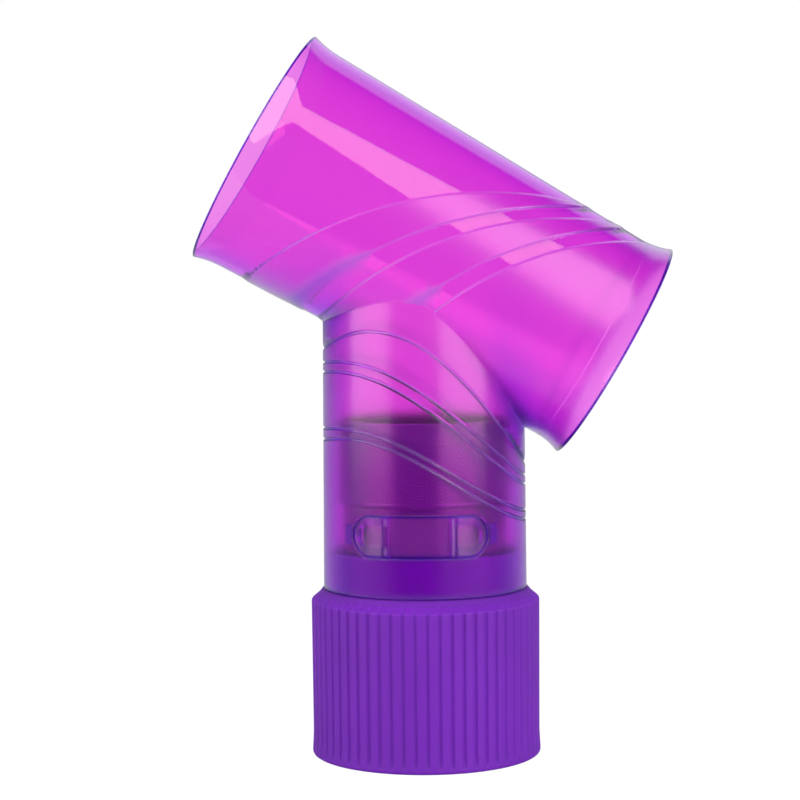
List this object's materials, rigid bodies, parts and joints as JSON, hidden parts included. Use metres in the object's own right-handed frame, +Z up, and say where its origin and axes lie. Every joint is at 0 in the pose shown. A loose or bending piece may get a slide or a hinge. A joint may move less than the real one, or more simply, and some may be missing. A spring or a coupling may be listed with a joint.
{
  "type": "hair dryer curl diffuser",
  "caption": "Translucent tilted open barrel on an upright neck, with an inner air guide tube and a ribbed silicone sleeve that grips a hair dryer's nozzle.",
  "frame": {"origin": "centre of the sleeve's lower mouth, on the neck's axis", "axes": "+Z up along the neck's axis, +X towards the barrel's low narrow mouth, -Y is the side with the plate"},
  "size_m": [0.1512, 0.0794, 0.2281],
  "materials": {
    "barrel_body": "clear tinted gloss moulding",
    "front_plate": "tinted gloss moulding",
    "air_guide": "satin opaque moulding",
    "grip_sleeve": "matte silicone"
  },
  "bodies": {
    "sleeve": {"grip_sleeve": "grip_sleeve"},
    "guide": {"air_guide": "air_guide"},
    "diffuser": {"barrel_body": "barrel_body", "front_plate": "front_plate"}
  },
  "joints": [
    {"name": "swivel", "type": "hinge", "parent": "sleeve", "child": "guide", "pos_m": [0, 0, 0.0534], "axis": [0, 0, 1], "continuous": true},
    {"name": "lift_off", "type": "slide", "parent": "guide", "child": "diffuser", "axis": [0, 0, 1], "range_m": [0, 0.056]}
  ]
}
